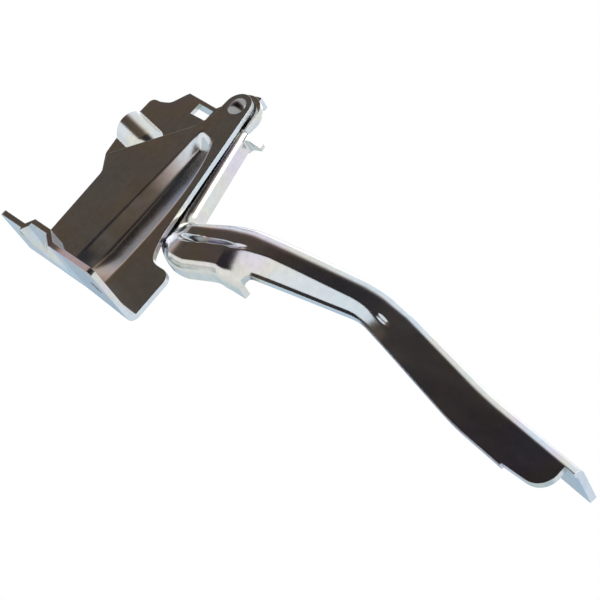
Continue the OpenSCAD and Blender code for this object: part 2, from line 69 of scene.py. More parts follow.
# Millimetres and degrees. Levels are measured back from the front plate's flat face.
REAR_WASHER_LEVEL = 9.0
FRONT_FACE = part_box("rear_washer")[0].y / MM - REAR_WASHER_LEVEL
ARM_LEVEL = 5.0
REAR_LEVEL = 10.5
RIVET_R = 4.0
BUSH_HOLE_R = 5.05
NECK_TOP = PIVOT + np.array([14.6, -9.0])
NECK_LEAN = 15.0
FILLET = 1.5  # inner radius between the arm's web and its top flange
BASE_Z = 35.0  # top of the front plate's low right part
WINDOW_LEFT, WINDOW_RIGHT = -45.5, -31.0
PAST = 50.0  # how far a cutter reaches past the sheet it cuts

BARE_STEEL = (0.80, 0.80, 0.79)


def ease(t):
    """Smooth step: 3 t squared less 2 t cubed, held at 0 and 1 outside."""
    c = np.clip(t, 0.0, 1.0)
    return c * c * (3.0 - 2.0 * c)


def between(a, b, t):
    """Straight blend from a at t = 0 to b at t = 1."""
    return a + (b - a) * t


def soft_ramp(s, r):
    """0 below -r, s above r, and the parabola (s + r) squared over 4 r between."""
    return np.where(s < -r, 0.0, np.where(s > r, s, (s + r) ** 2 / (4.0 * r)))


def soft_min(a, b, r):
    """The lesser of a and b, less (r - gap) squared over 4 r where their gap is under r."""
    gap = np.abs(a - b)
    return np.minimum(a, b) - np.where(gap > r, 0.0, (r - gap) ** 2 / (4.0 * r))


def unit(v):
    """Vectors along the last axis, each divided by its length."""
    return v / np.maximum(np.linalg.norm(v, axis=-1, keepdims=True), 1e-12)


def turned(v, degrees):
    """A plane vector turned anticlockwise."""
    a = np.radians(degrees)
    return np.array([v[0] * np.cos(a) - v[1] * np.sin(a), v[0] * np.sin(a) + v[1] * np.cos(a)])


def arc(centre, r, start, end, steps=24):
    """Points on a circle from one angle to another, in degrees."""
    a = np.radians(np.linspace(start, end, steps + 1))
    return np.asarray(centre) + r * np.column_stack([np.cos(a), np.sin(a)])


def corner(a, b, c, r, steps):
    """Corner b of the path a, b, c as an arc of radius r that touches both sides.

    The arc starts r tan(turn / 2) before b and turns with the path.
    """
    a, b, c = (np.asarray(p, float) for p in (a, b, c))
    u, w = unit(b - a), unit(c - b)
    bend = np.degrees(np.arctan2(u[0] * w[1] - u[1] * w[0], u @ w))
    side = 1.0 if bend > 0 else -1.0
    start = b - u * r * np.tan(np.radians(abs(bend)) / 2)
    centre = start + side * r * np.array([-u[1], u[0]])
    away = start - centre
    t = np.radians(np.linspace(0.0, bend, steps + 1))[:, None]
    return centre + np.cos(t) * away + np.sin(t) * np.array([-away[1], away[0]])


def rounded_path(points, radii, steps=10):
    """Open path through points, each corner rounded to its own radius, 0 for a sharp one."""
    out = []
    for i, r in enumerate(radii):
        out.append(np.atleast_2d(points[i]) if r == 0
                   else corner(points[i - 1], points[i], points[i + 1], r, steps))
    return np.vstack(out)


def finer(columns, count):
    """Places between neighbouring columns, count to each gap, blended straight along each row."""
    last = columns.shape[-1] - 1
    at = np.linspace(0.0, last, last * count + 1)
    low = np.minimum(at.astype(int), last - 1)
    return between(columns[..., low], columns[..., low + 1], at - low)


def circle(centre, r, steps=64):
    """A closed circle's points, the first not repeated."""
    return arc(centre, r, 0.0, 360.0 * (1 - 1 / steps), steps - 1)


def add_object(name, points, faces):
    """An object at the origin whose mesh has these points, in millimetres."""
    mesh = bpy.data.meshes.new(name)
    points = np.asarray(points, float) + np.array([0.0, FRONT_FACE, 0.0])
    mesh.from_pydata((points * MM).tolist(), [], [list(f) for f in faces])
    mesh.update()
    obj = bpy.data.objects.new(name, mesh)
    bpy.context.scene.collection.objects.link(obj)
    return obj


def sheet(name, front, back):
    """Closed sheet from two grids of points of one size: both faces and the four edges between them.

    Point (i, j) of the front is number i m + j, and the back's follow after n m.
    """
    n, m = front.shape[:2]
    at = np.arange(n * m).reshape(n, m)
    quad = np.stack([at[:-1, :-1], at[1:, :-1], at[1:, 1:], at[:-1, 1:]], -1).reshape(-1, 4)
    over = n * m
    rims = (at[0, :], at[:, -1], at[-1, ::-1], at[::-1, 0])
    side = [np.stack([r[:-1], r[1:], r[1:] + over, r[:-1] + over], -1) for r in rims]
    faces = np.vstack([quad, quad[:, ::-1] + over, *side])
    obj = add_object(name, np.vstack([front.reshape(-1, 3), back.reshape(-1, 3)]), faces)
    face_outward(obj)
    return obj


def face_outward(obj):
    """Turns a closed mesh's faces outward: all of them if its signed volume is below zero."""
    mesh = obj.data
    mesh.calc_loop_triangles()
    co = np.empty(len(mesh.vertices) * 3)
    mesh.vertices.foreach_get("co", co)
    co = co.reshape(-1, 3)
    tri = np.empty(len(mesh.loop_triangles) * 3, np.int32)
    mesh.loop_triangles.foreach_get("vertices", tri)
    a, b, c = (co[tri.reshape(-1, 3)[:, i]] for i in range(3))
    if np.einsum("ij,ij->", a, np.cross(b, c)) < 0:
        mesh.flip_normals()


def prism(outline, low, high, axis="y"):
    """A closed outline carried straight along Y, or along Z from an X-Y outline."""
    outline = np.asarray(outline, float)
    n = len(outline)
    ends = []
    for level in (low, high):
        flat = np.full(n, float(level))
        ends.append(np.column_stack([outline[:, 0], flat, outline[:, 1]] if axis == "y"
                                    else [outline[:, 0], outline[:, 1], flat]))
    i = np.arange(n)
    sides = np.column_stack([i, np.roll(i, -1), np.roll(i, -1) + n, i + n])
    faces = [list(i[::-1]), list(i + n), *sides.tolist()]
    obj = add_object("cutter", np.vstack(ends), faces)
    face_outward(obj)
    return obj


def rod(r, low, high):
    """A round prism along Y, on the pivot's axis."""
    return prism(circle(PIVOT, r), low, high)


def joined(obj, other, operation):
    """obj with another solid cut away, kept or added, worked out exactly; the other one is used up."""
    step = obj.modifiers.new("cut", "BOOLEAN")
    step.object, step.operation, step.solver = other, operation, "EXACT"
    graph = bpy.context.evaluated_depsgraph_get()
    made = bpy.data.meshes.new_from_object(obj.evaluated_get(graph))
    old = obj.data
    obj.modifiers.clear()
    obj.data = made
    made.name = obj.name
    bpy.data.meshes.remove(old)
    spent = other.data
    bpy.data.objects.remove(other)
    bpy.data.meshes.remove(spent)
    if not len(made.polygons):
        raise RuntimeError(f"{obj.name} came out empty after {operation}")
    return obj


def smooth(obj, angle=32.0):
    """Smooth shading with edges sharper than the angle kept, flat parts weighing most."""
    obj.data.shade_smooth()
    obj.data.set_sharp_from_angle(angle=np.radians(angle))
    weigh = obj.modifiers.new("even shading", "WEIGHTED_NORMAL")
    weigh.keep_sharp, weigh.weight = True, 50
    return obj


def copy_of(node, name):
    """A node's own shape as a new piece, with the points of its loose triangles joined."""
    piece = bpy.data.objects.new(name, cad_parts[node].data.copy())
    bpy.context.scene.collection.objects.link(piece)
    weld = piece.modifiers.new("weld", "WELD")
    weld.merge_threshold = 1e-6
    flat = piece.modifiers.new("flat faces", "DECIMATE")
    flat.decimate_type, flat.angle_limit = "DISSOLVE", np.radians(0.6)
    graph = bpy.context.evaluated_depsgraph_get()
    made = bpy.data.meshes.new_from_object(piece.evaluated_get(graph))
    old = piece.data
    piece.modifiers.clear()
    piece.data = made
    bpy.data.meshes.remove(old)
    for layer in list(made.attributes):
        if layer.name == "custom_normal":
            made.attributes.remove(layer)
    return piece


def broken_edges(obj, width, angle=42.0):
    """Sharp edges broken by a small round, as barrelled steel has."""
    edge = obj.modifiers.new("broken edges", "BEVEL")
    edge.width, edge.segments, edge.limit_method = width, 2, "ANGLE"
    edge.angle_limit, edge.harden_normals = np.radians(angle), False
    return obj


def link(tree, source, out, target, into):
    """One wire between two nodes."""
    tree.links.new(source.outputs[out], target.inputs[into])


def node(tree, kind, **values):
    """A shader node with its sockets and settings set by name; socket names hold no underscore."""
    made = tree.nodes.new(kind)
    for key, value in values.items():
        socket = made.inputs.get(key.replace("_", " ")) if key[0].isupper() else None
        if socket is not None:
            socket.default_value = value
        else:
            setattr(made, key, value)
    return made


def ramp(tree, source, out, stops):
    """A colour ramp through (place, colour) stops."""
    made = node(tree, "ShaderNodeValToRGB")
    line = made.color_ramp.elements
    line[0].position, line[0].color = stops[0][0], (*stops[0][1], 1.0)
    line[1].position, line[1].color = stops[-1][0], (*stops[-1][1], 1.0)
    for place, colour in stops[1:-1]:
        stop = line.new(place)
        stop.color = (*colour, 1.0)
    link(tree, source, out, made, "Fac")
    return made


def mapped(tree, source, out, low, high, to_low, to_high):
    """A value carried from one range to another and held at its ends."""
    made = node(tree, "ShaderNodeMapRange")
    for key, value in (("From Min", low), ("From Max", high), ("To Min", to_low), ("To Max", to_high)):
        made.inputs[key].default_value = value
    link(tree, source, out, made, "Value")
    return made


def zinc(name, look, shift=0.0, tint=1.0, metal=None):
    """Bright blue-clear zinc over pressed steel, or a plain metal with the same surface.

    Slow noise wanders through the film's tints, from bluish through straw to pink, or in a plain
    metal through two tones of it. Finer noise gives the spangle, one drawn out across the sheet
    stirs the roughness, and a broad and a fine one tilt the surface a little. In narrow gaps and
    creases the colour is darkened to blue-black by ambient occlusion: painted shade.
    """
    mat = bpy.data.materials.new(name)
    mat.use_nodes = True
    tree = mat.node_tree
    tree.nodes.clear()
    coords = node(tree, "ShaderNodeTexCoord")
    place = node(tree, "ShaderNodeMapping")
    place.inputs["Location"].default_value = (shift, shift * 0.7, shift * 1.3)
    link(tree, coords, "Object", place, "Vector")

    def lumps(scale, detail, stretch=(1.0, 1.0, 1.0)):
        drawn = node(tree, "ShaderNodeMapping")
        drawn.inputs["Scale"].default_value = stretch
        link(tree, place, "Vector", drawn, "Vector")
        made = node(tree, "ShaderNodeTexNoise", Scale=scale, Detail=detail)
        link(tree, drawn, "Vector", made, "Vector")
        return made

    base, straw, pink = (np.array(c) for c in (look.base, look.straw, look.pink))
    mean = between(base, np.array(BARE_STEEL), 0.5)
    tones = (base, mean, between(mean, straw, tint), between(mean, pink, tint), base)
    if metal is not None:
        tones = [np.array(metal) * (1 - 0.08 * (i % 2)) for i in range(5)]
    film = ramp(tree, lumps(16.0, 2.0), "Fac",
                [(place, tuple(tone)) for place, tone in zip((0.30, 0.44, 0.52, 0.60, 0.72), tones)])
    spangle = ramp(tree, lumps(260.0, 3.0), "Fac", [(0.3, (0.90, 0.90, 0.91)), (0.7, (1.0, 1.0, 1.0))])
    colour = node(tree, "ShaderNodeMix", data_type="RGBA", blend_type="MULTIPLY")
    colour.inputs["Factor"].default_value = 1.0
    tree.links.new(film.outputs["Color"], colour.inputs["A"])
    tree.links.new(spangle.outputs["Color"], colour.inputs["B"])

    # Painted shade: ambient occlusion darkens the base colour to blue-black in narrow gaps and creases,
    # where shade falls.
    crease_occlusion = node(tree, "ShaderNodeAmbientOcclusion", samples=6, Distance=0.0035)
    shade = ramp(tree, crease_occlusion, "AO", [(0.12, (0.10, 0.13, 0.19)), (0.42, (1.0, 1.0, 1.0))])
    dim = node(tree, "ShaderNodeMix", data_type="RGBA", blend_type="MULTIPLY")
    dim.inputs["Factor"].default_value = 1.0
    tree.links.new(colour.outputs["Result"], dim.inputs["A"])
    tree.links.new(shade.outputs["Color"], dim.inputs["B"])

    rolled = lumps(34.0, 3.0, (1.0, 2.0, 2.5))
    rough = mapped(tree, rolled, "Fac", 0.3, 0.75, look.roughness * 0.85, look.roughness * 1.2)

    wave = node(tree, "ShaderNodeBump", Strength=0.12, Distance=0.001)
    link(tree, lumps(34.0, 1.5), "Fac", wave, "Height")
    fine = node(tree, "ShaderNodeBump", Strength=0.06, Distance=0.0002)
    link(tree, lumps(620.0, 3.0), "Fac", fine, "Height")
    edge = node(tree, "ShaderNodeBevel", samples=4)
    edge.inputs["Radius"].default_value = 0.0005
    link(tree, edge, "Normal", wave, "Normal")
    link(tree, wave, "Normal", fine, "Normal")

    shader = node(tree, "ShaderNodeBsdfPrincipled", Metallic=1.0)
    tree.links.new(dim.outputs["Result"], shader.inputs["Base Color"])
    link(tree, rough, "Result", shader, "Roughness")
    link(tree, fine, "Normal", shader, "Normal")
    out = node(tree, "ShaderNodeOutputMaterial")
    link(tree, shader, "BSDF", out, "Surface")
    return mat


def finish_piece(piece, body, slot, material, *nodes):
    """Gives a piece its finish, puts it on its body, and lets it stand for its solids."""
    piece.data.materials.clear()
    piece.data.materials.append(material)
    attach(piece, body)
    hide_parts(*nodes)
    return piece


def length(name, about, value):
    """A length property, given in millimetres and kept in metres."""
    return FloatProperty(name=name, description=about, default=value * MM, unit="LENGTH", precision=5)


def shade(name, about, value):
    """A colour property."""
    return FloatVectorProperty(name=name, description=about, default=value, subtype="COLOR",
                               size=3, min=0.0, max=1.0)


class HingeFrontPlate(bpy.types.PropertyGroup):
    """Sizes of the front bracket plate and its foot."""

    thickness: length("Thickness", "Sheet thickness of the front plate", 3.5)
    foot_len: length("Foot length", "Length of the foot along its bend", 104)
    foot_left: length("Foot depth, left", "Depth of the foot at its left end", 38)
    foot_right: length("Foot depth, right", "Depth of the foot at its right end", 48)
    foot_drop: length("Foot drop", "How far the foot's right end falls away", 2)
    bend_r: length("Bend radius", "Inner radius between foot and plate", 3)
    bolt_spacing: length("Bolt spacing", "Distance between the foot's bolt holes", 74)
    bolt_d: length("Bolt hole", "Diameter of the foot's bolt holes", 9)
    channel_h: length("Channel height", "Height of the channel across the foot", 5.5)
    ear_r: length("Ear radius", "Radius of the plate's ear", 10)
    rib_depth: length("Rib depth", "Depth of the pressed rib", 7)
    rib_top: length("Rib top", "Height at which the rib closes", 121)
    rib_foot_w: length("Rib width, foot", "Width of the rib at the foot", 33)
    rib_top_w: length("Rib width, top", "Width of the rib at its closed end", 11)


class HingeRearPlate(bpy.types.PropertyGroup):
    """Sizes of the rear bracket plate."""

    thickness: length("Thickness", "Sheet thickness of the rear plate", 3)
    ear_r: length("Ear radius", "Radius of the plate's ear", 11)
    crest: length("Crest height", "Height of the plate's top edge", 144)
    left: length("Left edge", "Place of the plate's left edge", -82)
    flange_d: length("Flange depth", "Depth of the top flange", 9)
    lug_r: length("Lug radius", "Radius of the curved flange over the ear", 17)
    bead_w: length("Bead width", "Width of the half-round bead", 22)
    bead_h: length("Bead height", "Height of the half-round bead", 6.5)
    bead_z: length("Bead place", "Height of the bead's axis at the left edge", 106)


class HingeArm(bpy.types.PropertyGroup):
    """Sizes of the gooseneck arm."""

    thickness: length("Thickness", "Sheet thickness of the arm", 4)
    ear_r: length("Ear radius", "Radius of the arm's ear", 13.5)
    neck_len: length("Neck length", "From the ear to the gooseneck's corner", 74)
    neck_w: length("Neck width", "Width of the neck", 12.5)
    rise_len: length("Rise length", "Run out of the corner", 45)
    middle_len: length("Middle length", "Run of the arm's middle", 100)
    drop_len: length("Drop length", "Run down to the tail", 98)
    tail_len: length("Tail length", "Run of the tail", 64.99)
    middle_w: length("Middle height", "Height of the section at the middle", 29)
    tail_w: length("Tail height", "Height of the section at the tail", 24.5)
    neck_flange_d: length("Flange depth, neck", "Depth of the top flange at the neck", 7.5)
    tail_flange_d: length("Flange depth, tail", "Depth of the top flange at the tail", 25)
    groove: length("Groove depth", "Depth of the groove between the two ridges", 5)
    joggle: length("Joggle", "How far the corner stands out to the front", 6.5)
    bottom_flange_d: length("Bottom flange", "Depth of the bottom flange under the corner", 7)
    bolt_d: length("Bolt hole", "Diameter of the hood bolt holes", 9)
    bolt_spacing: length("Bolt spacing", "Distance between the hood bolt holes", 66)


class HingeFinish(bpy.types.PropertyGroup):
    """Colours of the zinc film and the pivot's metals."""

    base: shade("Zinc", "Bluish white of the zinc film", (0.68, 0.76, 0.82))
    straw: shade("Straw tint", "Straw tint in the film", (0.77, 0.76, 0.68))
    pink: shade("Pink tint", "Pink tint in the film", (0.78, 0.72, 0.79))
    roughness: FloatProperty(name="Roughness", description="Mean roughness of the zinc",
                             default=0.2, min=0.02, max=1.0, subtype="FACTOR")
    bronze: shade("Bronze", "Colour of the pivot bush", (0.62, 0.42, 0.20))
    rivet: shade("Rivet", "Colour of the rivet's darker steel", (0.36, 0.35, 0.35))


class HingeStage(bpy.types.PropertyGroup):
    """Floor, light and camera."""

    floor: shade("Floor", "Colour of the floor", (0.86, 0.86, 0.86))
    floor_z: length("Floor height", "Height of the floor below the foot's face", -260)
    dark: shade("Dim side", "What the plates mirror at the front left", (0.098, 0.076, 0.058))
    deep: shade("Dark middle", "What the arm's tail mirrors at the front", (0.023, 0.020, 0.024))
    key: FloatProperty(name="Key light", description="Power of the soft key light, in watts",
                       default=3.0, min=0.0)


def front_plate_faces(s):
    """Front and back grids of the front plate, foot, bend and plate in one sheet.

    Rows run in from the foot's free edge, round a quarter circle of the bend's radius and up the
    plate; columns run along X and crowd at the channel's and the rib's edges. The foot rises by
    the channel's height where the nearer ramp is up, and falls with the end ramp. The plate is
    pressed back by the rib's depth times the lesser of two soft ramps, faded at its closed end.
    The back lies the thickness further along each row's own straight direction, which turns from
    down to back round the bend, more on slopes.
    """
    t, r = s.thickness / MM, s.bend_r / MM
    half, left_d, right_d = s.foot_len / MM / 2, s.foot_left / MM, s.foot_right / MM
    rib_top, slope_x = s.rib_top / MM, 7.0
    bend_z = t + r
    foot_x, foot_w, top_w = -19.0, s.rib_foot_w / MM, s.rib_top_w / MM
    tops, low_ramp, high_ramp, channel_x = 16.0, 4.0, 9.0, -17.0
    column_left, column_right = -70.0, half + 4.0

    def rib_left(z):
        return between(foot_x, PIVOT_X - top_w / 2 - 3, z / rib_top)

    def rib_right(z):
        return between(foot_x + foot_w, PIVOT_X + top_w / 2 - 1, (z / rib_top) ** 4)

    def rib_valley(z):
        return between(rib_left(z), rib_right(z), 0.36 - 0.16 * z / rib_top)

    def rib(x, z):
        left = (x - rib_left(z)) / (rib_valley(z) - rib_left(z))
        right = (rib_right(z) - x) / (rib_right(z) - rib_valley(z))
        shape = np.minimum(1, soft_min(soft_ramp(left, 0.12), soft_ramp(right, 0.06), 0.3) * 1.08)
        fade = ease((rib_top - z) / 9) * between(0.35, 1, ease(z / (BASE_Z - 5)))
        return s.rib_depth / MM * fade * shape

    def end_ramp(x):
        return soft_ramp((x - slope_x) / (half - slope_x), 0.12)

    def drop(x):
        return s.foot_drop / MM * end_ramp(x)

    def foot_edge(x):
        return -between(left_d, right_d, end_ramp(x))

    def channel(x, y):
        left = (x - channel_x + tops / 2) / low_ramp + 1
        right = (channel_x + tops / 2 - x) / high_ramp + 1
        rise = np.minimum(1, soft_ramp(np.minimum(left, right), 0.08))
        return s.channel_h / MM * rise * ease((-y - 8) / 16)

    low, high = channel_x - tops / 2, channel_x + tops / 2
    foot_columns = np.array([
        column_left, between(column_left, low - low_ramp, 0.6),
        *[low - c * low_ramp for c in (1.15, 1, 0.85, 0.5, 0.12)], low + 0.5, high,
        *[high + c * high_ramp for c in (0.1, 0.5, 0.93, 1.07)],
        between(high + high_ramp, column_right, 0.5), column_right])

    def plate_columns(z):
        z = np.atleast_1d(z)
        rl, rv, rr = rib_left(z), rib_valley(z), rib_right(z)
        whole = [np.full_like(z, column_left), between(column_left, rl, 0.6)]
        whole += [between(rl, rv, c) for c in (-0.13, 0, 0.13, 0.5, 0.85, 1)]
        whole += [between(rv, rr, c) for c in (0.15, 0.55, 0.94, 1, 1.06)]
        whole += [between(rr, column_right, 0.5), np.full_like(z, column_right)]
        return np.column_stack(whole)

    share = np.linspace(1, 0, 44)[:-1, None]
    x = np.repeat(finer(foot_columns, 6)[None, :], len(share), 0)
    y = foot_edge(x) * share - r * (1 - share)
    foot = np.stack([x, y, t + channel(x, y) - drop(x)], -1)
    down = np.repeat([[0.0, 0.0, -1.0]], len(share), 0)

    a = np.radians(np.linspace(0, 90, 13))[:, None]
    w = a / (np.pi / 2)
    x = between(finer(foot_columns, 6)[None, :], finer(plate_columns(bend_z), 6), ease(w))
    bend = np.stack([x, rib(x, bend_z) * w - r + r * np.sin(a), bend_z - r * np.cos(a) - drop(x)], -1)
    out = np.column_stack([np.zeros(len(a)), np.sin(a), -np.cos(a)])

    z = np.append(np.arange(bend_z + 1.2, rib_top + 9, 1.2), PIVOT_Z + 20.0)[:, None]
    x = finer(plate_columns(np.minimum(z[:, 0], rib_top + 8)), 6)
    plate = np.stack([x, rib(x, z), z - drop(x) * ease((BASE_Z - z) / BASE_Z)], -1)
    back = np.repeat([[0.0, 1.0, 0.0]], len(z), 0)

    front = np.concatenate([foot, bend, plate])
    way = np.concatenate([down, out, back])[:, None, :]
    return front, front + set_off(front, way, t), foot_edge


def set_off(front, way, t):
    """The step from a sheet's front to its back: its thickness along the given way, more on slopes.

    The true normal is the cross product of the grid's two gradients; the step is the thickness
    over the part of the normal that lies along the way, which is held at 0.62 or more.
    """
    normal = unit(np.cross(np.gradient(front, axis=0), np.gradient(front, axis=1)))
    along = np.clip(np.sum(normal * way, -1, keepdims=True), 0.62, 1.0)
    return way * t / along


def front_plate_outline(s):
    """The plate's blank from the foot round the ear and back, in X and Z."""
    half, ear, r = s.foot_len / MM / 2, s.ear_r / MM, np.radians
    x, z, rib_top = PIVOT_X, PIVOT_Z, s.rib_top / MM
    right = PIVOT + ear * np.array([np.cos(r(11)), np.sin(r(11))])
    left = PIVOT + ear * np.array([np.cos(r(177)), np.sin(r(177))])
    return np.vstack([
        rounded_path([(-half, -40), (half, -40), (half - 3, BASE_Z - 0.5), (30.5, BASE_Z - 0.5),
                      (23, BASE_Z + 13), right], [0, 0, 7, 9, 60, 0]),
        arc(PIVOT, ear, 11, 177, 40)[1:-1],
        rounded_path([left, (x - 10.3, z - 13), (x - 16, rib_top + 0.5), (-64, 78), (-56, 66),
                      (-half - 1, 17), (-half, -39)], [0, 12, 14, 1.5, 12, 100, 0])])


class HINGE_OT_front_plate(bpy.types.Operator):
    """Makes the front bracket plate with its foot, rib and bolt holes"""

    bl_idname = "hinge.front_plate"
    bl_label = "Front bracket plate"

    def execute(self, context):
        s, look = context.scene.hinge_front_plate, context.scene.hinge_finish
        front, back, foot_edge = front_plate_faces(s)
        piece = sheet("front_bracket_plate_skin", front, back)
        joined(piece, prism(front_plate_outline(s), -2 * PAST, PAST), "INTERSECT")
        half = s.foot_len / MM / 2
        trim = 0.03
        edge = [(x, float(foot_edge(np.array(x))) + trim) for x in (-half, 7.0, half)]
        joined(piece, prism(rounded_path(
            [(-half, -5), edge[0], edge[1], edge[2], (half, 100), (-75, 100), (-75, -5)],
            [0, 2.5, 20, 5, 0, 0, 0]), -PAST, 8 * PAST, "z"), "INTERSECT")
        joined(piece, rod(RIVET_R, -PAST, PAST), "DIFFERENCE")
        for side in (-1, 1):
            hole = circle((side * s.bolt_spacing / MM / 2, -FRONT_FACE), s.bolt_d / MM / 2)
            joined(piece, prism(hole, -PAST, 2 * PAST, "z"), "DIFFERENCE")
        smooth(piece)
        finish_piece(piece, "bracket", "zinc_sheet", zinc("zinc_front", look, 0.0),
                     "front_bracket_plate")
        return {"FINISHED"}


def rear_plate_faces(s):
    """Front and back grids of the rear plate with its bead.

    The plate is flat in X and Z. The bead stands out to the front by the cap of a round rod,
    its axis tilted 10 degrees and its end a ball: the square root of the rod's radius squared
    less the distance from the axis squared, less the rod's depth below the face, softened at 0.
    """
    t, h, w = s.thickness / MM, s.bead_h / MM, s.bead_w / MM
    rod_r = ((w / 2) ** 2 + h ** 2) / (2 * h)
    x, z = np.meshgrid(np.linspace(-90, 12, 176), np.linspace(18, 170, 260))
    start, tilt, run = np.array([s.left / MM - 4, s.bead_z / MM]), np.radians(-10), 30.0
    along = (x - start[0]) * np.cos(tilt) + (z - start[1]) * np.sin(tilt)
    across = -(x - start[0]) * np.sin(tilt) + (z - start[1]) * np.cos(tilt)
    apart = across ** 2 + np.maximum(along - run, 0) ** 2
    height = np.sqrt(np.maximum(rod_r ** 2 - apart, 0)) - (rod_r - h)
    front = np.stack([x, REAR_LEVEL - soft_ramp(height, 0.9), z], -1)
    return front, front + set_off(front, np.array([0.0, 1.0, 0.0]), t)


class HINGE_OT_rear_plate(bpy.types.Operator):
    """Makes the rear bracket plate with its bead, window and flanges"""

    bl_idname = "hinge.rear_plate"
    bl_label = "Rear bracket plate"

    def execute(self, context):
        s, look = context.scene.hinge_rear_plate, context.scene.hinge_finish
        t, crest, left, lug = s.thickness / MM, s.crest / MM, s.left / MM, s.lug_r / MM
        ear, deep, r = s.ear_r / MM, s.flange_d / MM, np.radians
        piece = sheet("rear_bracket_plate_skin", *rear_plate_faces(s))
        outline = np.vstack([
            rounded_path([(-30, 24), (4, 24), (8, 60), (2, PIVOT_Z - 26),
                          PIVOT + ear * np.array([np.cos(r(-8)), np.sin(r(-8))])], [0, 8, 60, 40, 0]),
            arc(PIVOT, ear, -8, 84, 24)[1:], arc(PIVOT, lug, 90, 150, 24),
            rounded_path([(WINDOW_RIGHT, crest - 1), (-59, crest), (-66, crest - 12), (-74, crest - 14.5),
                          (left, crest - 15), (left, crest - 44), (left + 4, 81), (-61, 60), (-30, 24)],
                         [0, 4, 8, 12, 4, 40, 6, 14, 0])[:-1]])
        joined(piece, prism(outline, -PAST, PAST), "INTERSECT")
        window_foot, right = crest - 12, WINDOW_RIGHT - 0.1
        hole = [(WINDOW_LEFT, window_foot), (right, window_foot), (right, crest - 0.85 - t),
                (WINDOW_LEFT, crest - 0.35 - t)]
        joined(piece, prism(hole, REAR_LEVEL - 1.5, REAR_LEVEL + 4), "DIFFERENCE")
        flat = prism([(-59, crest - t), (WINDOW_RIGHT, crest - 1 - t), (WINDOW_RIGHT, crest - 1),
                      (-59, crest)], REAR_LEVEL, REAR_LEVEL + deep)
        joined(piece, flat, "UNION")
        curved = prism(np.vstack([arc(PIVOT, lug, 90, 150, 24), arc(PIVOT, lug - t, 150, 90, 24)]),
                       REAR_LEVEL, REAR_LEVEL + deep)
        joined(piece, curved, "UNION")
        joined(piece, rod(RIVET_R, 0, PAST), "DIFFERENCE")
        smooth(piece)
        finish_piece(piece, "bracket", "zinc_sheet", zinc("zinc_rear", look, 3.1),
                     "rear_bracket_plate")
        return {"FINISHED"}


def arm_line(s):
    """Corners of the line on which the top flange's outer face runs, from the neck's top to the tail."""
    def way(degrees):
        return np.array([np.cos(np.radians(degrees)), np.sin(np.radians(degrees))])

    points = [NECK_TOP]
    for run, slope in ((s.neck_len, NECK_LEAN - 90), (s.rise_len, 26.5), (s.middle_len, 5.2),
                       (s.drop_len, -13), (s.tail_len, -7.8)):
        points.append(points[-1] + run / MM * way(slope))
    return points


def arm_spine(points):
    """The line with its corners rounded, in short steps, and the lengths at which it changes."""
    turns = [corner(points[i - 1], points[i], points[i + 1], r, n)
             for i, r, n in ((1, 9, 40), (2, 70, 18), (3, 70, 18), (4, 260, 18))]

    def run(a, b):
        steps = max(2, int(np.ceil(np.linalg.norm(b - a) / 1.8)))
        return between(a, b, np.linspace(0, 1, steps + 1)[:, None])

    ends = [points[0], *[t[-1] for t in turns]]
    starts = [*[t[0] for t in turns], points[5]]
    parts = []
    for i in range(5):
        parts.append(run(ends[i], starts[i])[:-1])
        if i < 4:
            parts.append(turns[i][:-1])
    line = np.vstack([*parts, points[5][None, :]])
    gone = np.concatenate([[0.0], np.cumsum(np.linalg.norm(np.diff(line, axis=0), axis=1))])
    neck = np.linalg.norm(turns[0][0] - points[0])
    turn = neck + np.sum(np.linalg.norm(np.diff(turns[0], axis=0), axis=1))
    rise = turn + np.linalg.norm(points[2] - points[1]) - 12
    crown = rise + np.linalg.norm(points[3] - points[2])
    return line, gone, (neck, turn, rise, crown, gone[-1])


